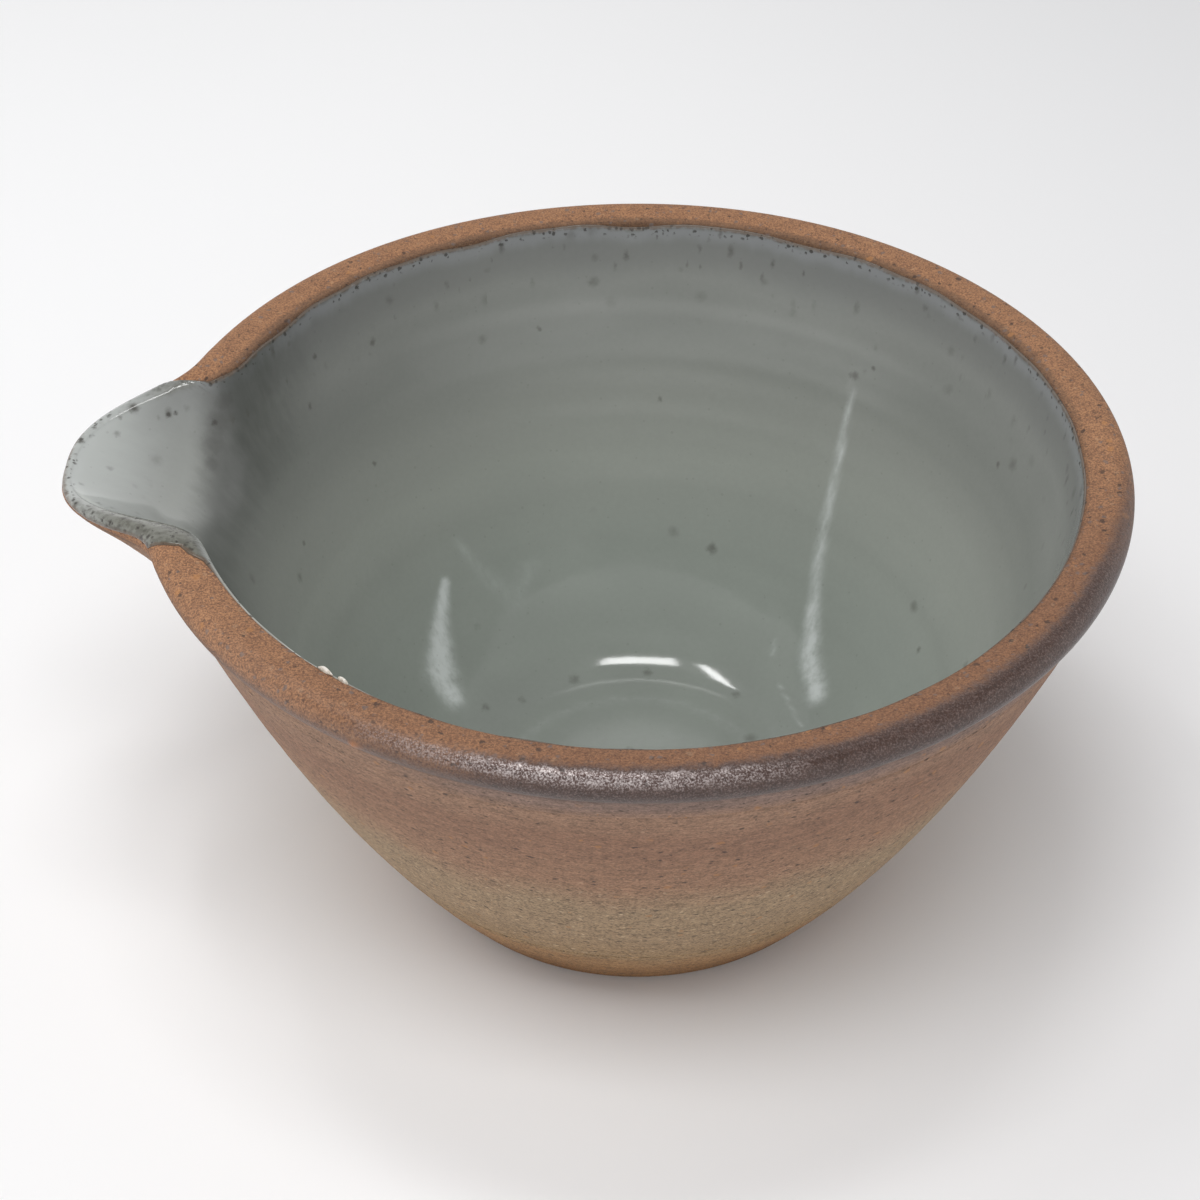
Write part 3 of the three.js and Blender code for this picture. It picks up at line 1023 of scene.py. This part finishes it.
# %% Clay: iron, grog and the pebble
IRON = paint("3a2f2b")
GROG = paint("cdb596")
mid_wall = rise(clay_z, 14, 28) * (1 - rise(clay_z, 48, 68))
lying = stretched(ragged_clay, 1, 1, 1.8)
iron = specks(lying, 2.4, 0.62, 0.30)
fine_iron = specks(lying, 1.1, 0.34, 0.34)
grog = specks(stretched(ragged_clay, 1.1, 1.1, 2.2), 2.2, 0.6, 0.30)
fine_grog = specks(lying, 1.3, 0.34, 0.30)
toasted = specks(ragged_clay, 3.1, 0.75, 0.22)
blue_grey = specks(ragged_clay, 1.5, 0.5, 0.30)
bare = 1 - flashed.most(painted_highlight)
lay(clay, 0.75 * iron, IRON)
lay(clay, 0.55 * fine_iron, IRON)
lay(clay, grog * (0.12 + 0.6 * mid_wall) * bare, GROG)
lay(clay, fine_grog * (0.08 + 0.5 * mid_wall) * bare, GROG)
lay(clay, 0.5 * toasted * bare, paint("b27d4c"))
lay(clay, 0.6 * blue_grey * on_rim * bare, paint("66605f"))
lay(clay, mark(clay, "pebble"), paint("b0703c"))
so_far(clay, "specks")

# %% Clay: how it shines and how rough it feels
orange_peel = cloud(clay_place, 0.7, 2, 0.6)
wall_bumps = 0.14 * fine_grain + 0.14 * coarse_grain + 0.10 * scratches - 0.08 * iron + 0.04 * grog
bumps = wall_bumps * (1 - 0.8 * shiny) + 0.10 * on_rim * sand * (1 - 0.6 * shiny)
bumps = bumps + 0.11 * shiny * orange_peel
clay.surface(
    Base_Color=clay.colour,
    Metallic=0.4 * painted_highlight,
    Roughness=0.80 - 0.48 * shiny + 0.2 * fine_grain * (1 - shiny),
    IOR=1.52,
    Normal=bumpy(bumps),
)
body.data.materials.append(clay.owner)
print("stoneware finish", len(clay.tree.nodes), "nodes")

# %% [markdown]
# ## The grey-green glaze
# A thin milky glaze over brown clay looks grey-green. It is nearly mirror smooth in the well and
# a little more satin high on the wall, with a slight ripple. Iron from the clay comes up through
# it as soft dark specks, more of them near the rim, where they were drawn downwards as it ran.
# Where it is thin, at its edge and over the shoulders of the lip, it turns olive and shows the
# grit below. In the end of the lip it pooled pale. The throat behind that is darkened as painted
# shade, and where the channel folds into the wall a dark smear is partly thin glaze and partly
# painted shade. The glaze is also painted darker towards the left and high on the sides, as
# shade. Light could be let into it, but a coat this thin and milky looks the same as one painted
# surface with one sharp reflection. Most specks lie where chance puts them, and a few large ones
# have their places.

# %% Glaze: place and marks
glaze = Finish(bpy.data.materials.new("grey_green_glaze"))
glaze_place = place_in_mm(glaze)
glaze_x, _, glaze_z = split(glaze_place)
edge = mark(glaze, "from_edge")
shoulders = mark(glaze, "over_rim")
milk_and_reflection_mark = mark(glaze, "milky")
ring = mark(glaze, "ring")
mottle = cloud(glaze_place, 30, 2)
dust = cloud(glaze_place, 1.2, 3, 0.6)
so_far(glaze, "marks")

# %% Glaze: the ground colour by height, the rings, and painted shade to the left and sides
GLAZE_PAINTS = [
    (0.08, "848983"),
    (0.15, "8b918a"),
    (0.30, "939992"),
    (0.50, "979b94"),
    (0.62, "8f928c"),
    (0.74, "838681"),
    (0.86, "8c8e8a"),
    (1.00, "777978"),
]
uneven_height = glaze_z / RIM_TOP + 0.12 * (mottle - 0.5)
glaze.colour = colour_at(glaze, GLAZE_PAINTS, uneven_height)
toward_lip = 0 - glaze_x
on_round = 1 - rise(toward_lip, 84, 92)
# Painted shade: the glaze is darker towards the left and high on the sides.
shade_to_left = rise(toward_lip, 5, 75) * on_round
shade_high_on_sides = rise(glaze_x.most(toward_lip), 30, 80) * rise(glaze_z, 58, 82) * on_round
clouding_and_shade = 0.94 + 0.09 * dust + 0.12 * mottle - 0.25 * ring - 0.12 * shade_to_left - 0.13 * shade_high_on_sides
lay(glaze, 1.0, grey(clouding_and_shade), "MULTIPLY")
so_far(glaze, "ground colour")

# %% Glaze: the bands under the rim
rim_fade = cloud(stretched(glaze_place, 1, 1, 0.25), 5, 2)
down_wall = edge + 3 * (rim_fade - 0.5)
pale_band = rise(down_wall, 0.4, 1.2) * (1 - rise(down_wall, 1.6, 5.0))
dark_band = rise(down_wall, 2, 5) * (1 - rise(down_wall, 7, 13))
lay(glaze, 0.25 * pale_band, paint("a3a5ab"))
lay(glaze, 0.25 * dark_band, paint("6d6d6b"))
so_far(glaze, "bands")

# %% Glaze: pooled pale in the lip, and painted shade in the throat behind it
streaks = cloud(stretched(glaze_place, 0.35, 1, 0.35), 3, 3, 0.6)
lip_end = toward_lip + 4 * (mottle - 0.5) + 4 * (streaks - 0.5)
pooled = rise(lip_end, 88.0, 95.5)
brim = rise(lip_end, 96, 114)
# Painted shade: the throat behind the lip is darkened.
shade_in_throat = rise(lip_end, 70, 86) * rise(glaze_z, 66, 84) * (1 - pooled)
lay(glaze, shade_in_throat * (0.55 + 0.4 * streaks), paint("4c4e4b"))
lay(glaze, 0.10 * pooled + 0.46 * brim, paint("c8ccc9"))
so_far(glaze, "lip and throat")

# %% Glaze: milky runs and pools, partly painted reflection
PALE = paint("d3d8d6")
milk_streaks = cloud(stretched(glaze_place, 1, 1, 0.22), 2.2, 3, 0.6)
broken_milk_and_reflection = rise(milk_and_reflection_mark + 1.7 * milk_and_reflection_mark * (milk_streaks - 0.5), 0.02, 1.10)
lay(glaze, 0.8 * broken_milk_and_reflection, PALE)
so_far(glaze, "milk_and_reflection_mark")

# %% Glaze: iron specks
IRON_BROWN = paint("45413b")
ragged_glaze = ragged(glaze_place, 1.1, 1.0)
drawn_down = stretched(ragged_glaze, 1, 1, 0.45)
near_rim = 1 - rise(edge, 5, 20)
few = specks(ragged_glaze, 9.0, 1.3, 0.22, 0.7)
many = specks(drawn_down, 2.4, 0.6, 0.32, 0.7) * near_rim
smudges = specks(ragged_glaze, 5.0, 1.1, 0.3, 0.75) * (1 - rise(edge, 12, 30))
tiny = specks(glaze_place, 1.7, 0.3, 0.28)
for strength, layer in ((0.40, few), (0.50, many), (0.30, smudges), (0.12, tiny)):
    lay(glaze, strength * layer, IRON_BROWN)
so_far(glaze, "specks")


# %% Glaze: single spots that stand out
def lay_spot(place, radius, strength, colour=IRON_BROWN):
    """Lays a soft ragged spot in the glaze."""
    inputs = {"Vector": glaze_place, "Vector_001": place}
    off = glaze.node("ShaderNodeVectorMath", {"operation": "DISTANCE"}, inputs, "Value")
    there = 1 - rise(off + 1.6 * (dust - 0.5), 0.15 * radius, 1.15 * radius)
    lay(glaze, strength * there, colour)


# %% Glaze: spots on the wall and floor, by bearing in degrees, height and radius
SPOTS = [(53, 77, 1.5), (134, 88, 1.2), (145, 92, 0.9), (149, 83, 0.9), (141, 64, 0.8)]
SPOTS += [(164, 62, 0.8), (86, 63, 0.8), (106, 80, 0.8), (73, 32, 1.6), (13, 38, 1.0)]
SPOTS += [(20, 79, 0.9), (50, 80, 0.8), (145, 10.5, 1.6), (112, 9, 1.9), (133, 9, 1.4)]
SPOTS += [(86, 9, 1.7), (53, 9, 1.4)]
for bearing, height, radius in SPOTS:
    on_clay = on_inside(bearing, max(height, BASE))
    if height > 2 * BASE:
        inward = 1 - GLAZE_THICKNESS / np.hypot(*on_clay[:2])
        middle = (on_clay[0] * inward, on_clay[1] * inward, on_clay[2])
    else:
        middle = (on_clay[0], on_clay[1], height)
    lay_spot(middle, radius, 0.5)
so_far(glaze, "spots")

# %% Glaze: a dark smear where the lip's channel folds into the wall, partly thin glaze and partly painted shade, and marks in the lip
FOLD_GLAZE_AND_SHADE = [(-88, 25, 97, 2.6), (-89, 22, 94, 3.4), (-90, 18, 91, 3.4), (-90, 15, 88, 2.6)]
for x, y, z, radius in FOLD_GLAZE_AND_SHADE:
    lay_spot((x, y, z), radius, 0.42, paint("3d3c39"))
LIP_MARKS = [(-106, 18, 100, 1.5), (-99, 18.5, 98, 0.8), (-97.5, 19.5, 98, 0.7)]
LIP_MARKS += [(-112.5, -15.5, 99.5, 1.3), (-115.5, -10.5, 99, 0.9), (-115.5, 7.5, 98.5, 0.9)]
LIP_MARKS += [(-90, 21.5, 94, 1.0), (-91, 14.5, 90, 0.9), (-94, 17.5, 95, 0.7)]
for x, y, z, radius in LIP_MARKS:
    lay_spot((x, y, z), radius, 0.8, paint("37342f"))
so_far(glaze, "marks in the lip")

# %% Glaze: thin over the shoulders and at the edge
OLIVE = paint("6c6c62")
GRIT = paint("302c27")
gritty = mark(glaze, "gritty")
shoulder_grit = specks(ragged_glaze, 1.2, 0.6, 0.7, 0.5)
shoulder_cloud = rise(cloud(glaze_place, 1.6, 4, 0.7), 0.42, 0.60)
lay(glaze, 0.85 * gritty, OLIVE)
lay(glaze, 0.60 * shoulder_cloud * gritty, paint("4d4b43"))
lay(glaze, 0.85 * shoulder_grit * gritty, GRIT)
thin = 1 - rise(edge + 1.4 * (dust - 0.5), 0.3, 1.1)
edge_grit = specks(ragged_glaze, 1.2, 0.5, 0.6) * (1 - rise(edge, 1.4, 3.0))
pale_edge_mark = mark(glaze, "pale_edge")
lay(glaze, 0.75 * thin, paint("5c4a3b"))
lay(glaze, 0.8 * pale_edge_mark, paint("c6c9c3"))
lay(glaze, 0.75 * edge_grit, GRIT)
so_far(glaze, "thin places")

# %% Glaze: how it shines
ripple = cloud(glaze_place, 9, 2)
skin = cloud(glaze_place, 1.5, 1)
glaze_bumps = 0.05 * ripple + 0.004 * skin - 0.02 * shoulder_grit * gritty
satin = 0.07 + 0.05 * dust + 0.12 * rise(glaze_z, 40, 85) * (1 - pooled) + 0.04 * thin
satin = satin + 0.02 * shade_in_throat + 0.07 * (shoulders - gritty)
glaze.surface(
    Base_Color=glaze.colour,
    Roughness=satin,
    IOR=1.56,
    Normal=bumpy(glaze_bumps),
)
coat.data.materials.append(glaze.owner)
print("glaze finish", len(glaze.tree.nodes), "nodes")

# %% [markdown]
# ## The white crumbs
# The crumbs are the same glaze where it is so thick that it went white, with a little iron in it.
# The glaze's own finish could be used again, but its clouds and specks are wider than a crumb, so
# they have a finer one.

# %% Crumb finish
white = Finish(bpy.data.materials.new("glaze_crumb"))
white_place = place_in_mm(white)
white_cloud = cloud(white_place, 0.7, 3, 0.6)
white_shade = rise(white_cloud, 0.35, 0.65)
white.colour = laid_over(white, white_shade, paint("bdb6a8"), paint("e6e2da"))
white_specks = specks(white_place, 0.7, 0.12, 0.4)
lay(white, 0.5 * white_specks, paint("6d6153"))
white.surface(
    Base_Color=white.colour,
    Roughness=0.2 + 0.2 * white_cloud,
    IOR=1.5,
    Normal=bumpy(white_cloud * 0.05),
)
for piece in crumbs:
    piece.data.materials.append(white.owner)
print("crumb finish", len(white.tree.nodes), "nodes")

# %% [markdown]
# ## The floor
# The bowl stands on white paper. A backdrop that curves up would hide the paper's far edge, but
# the camera looks down and never sees it, so one flat sheet is enough. The paper is painted a
# little darker to the right and towards the front: painted shade.

# %% Floor
FLOOR_HALF = 3.0
paper = Finish(bpy.data.materials.new("white_paper"))
paper_place = place_in_mm(paper)
paper_x, paper_y, _ = split(paper_place)
# Painted shade: the paper is darker towards the front and to the right.
painted_light_to_back = rise(paper_y, -260, 420)
painted_shade_to_right = rise(paper_x, -100, 330)
paper.colour = laid_over(paper, painted_light_to_back, paint("f2f2f3"), paint("fcfcfd"))
lay(paper, 0.6 * painted_shade_to_right, paint("eaeaec"))
paper.surface(Base_Color=paper.colour, Roughness=0.9)
paper_mesh = bpy.data.meshes.new("floor")
corners = [(-1, -1), (1, -1), (1, 1), (-1, 1)]
square = [(x * FLOOR_HALF, y * FLOOR_HALF, 0) for x, y in corners]
paper_mesh.from_pydata(square, [], [(0, 1, 2, 3)])
paper_mesh.materials.append(paper.owner)
floor = bpy.data.objects.new("floor", paper_mesh)
bpy.context.scene.collection.objects.link(floor)
print("paper", 2 * FLOOR_HALF, "m wide")

# %% [markdown]
# ## The light
# The room is bright and even, with a soft light above the front, another from the left and two
# bare lamps overhead. A picture of a studio could light the bowl, but lamps with a place and a
# size can be reasoned about. The overhead lamps are what shows as two white bars in the well of
# the bowl, so their places come from following those two reflections back up from the glaze. The
# soft ones aren't mirrored, since the glaze shows no others.

# %% The room's even light, brighter low down where its pale walls are
ROOM_TOP = 0.15
ROOM_WALLS = 1.15
ROOM_FADE = 1.5
room = Finish(bpy.data.worlds.new("room"), "Background")
direction = room.node("ShaderNodeTexCoord", output="Generated")
_, _, up = split(direction)
room.feed(room.shader, "Color", (1, 1, 1, 1))
room.feed(room.shader, "Strength", ROOM_TOP + ROOM_WALLS * (1 - up.most(0)) ** ROOM_FADE)
bpy.context.scene.world = room.owner
print(f"the room's light goes from {ROOM_TOP} overhead to {ROOM_TOP + ROOM_WALLS:.2f} low down")


# %% Lamps
def lamp(name, place, aim, width, length, watts, heading=0.0, mirrored=True):
    """A flat soft lamp of a size in millimetres that looks from its place at its aim."""
    light = bpy.data.lights.new(name, "AREA")
    light.shape = "RECTANGLE"
    light.size = width * MM
    light.size_y = length * MM
    light.energy = watts
    holder = bpy.data.objects.new(name, light)
    bpy.context.scene.collection.objects.link(holder)
    look = (Vector(aim) - Vector(place)).to_track_quat("-Z", "Y").to_matrix()
    look = look @ Matrix.Rotation(heading, 3, "Z")
    holder.matrix_world = Matrix.Translation(Vector(place) * MM) @ look.to_4x4()
    holder.visible_glossy = mirrored
    print(name, width, "by", length, "mm,", watts, "W")


LAMP_HEIGHT = 1000.0
lamp("soft_front", (-66, -396, 962), (0, 0, 50), 640, 300, 4.6, mirrored=False)
lamp("soft_left", (-980, 300, 560), (0, 0, 50), 900, 900, 2.9, mirrored=False)
lamp("bar_overhead", (-12, 20, LAMP_HEIGHT), (-12, 20, 0), 285, 110, 1.45)
lamp("bar_left", (-288, 168, LAMP_HEIGHT), (-288, 168, 0), 52, 270, 0.75, heading=math.radians(8))

# %% [markdown]
# ## Colour
# The picture is shown plainly, with no look laid over it, so a colour comes out about as it is
# written.

# %% View
bpy.context.scene.view_settings.view_transform = "Standard"
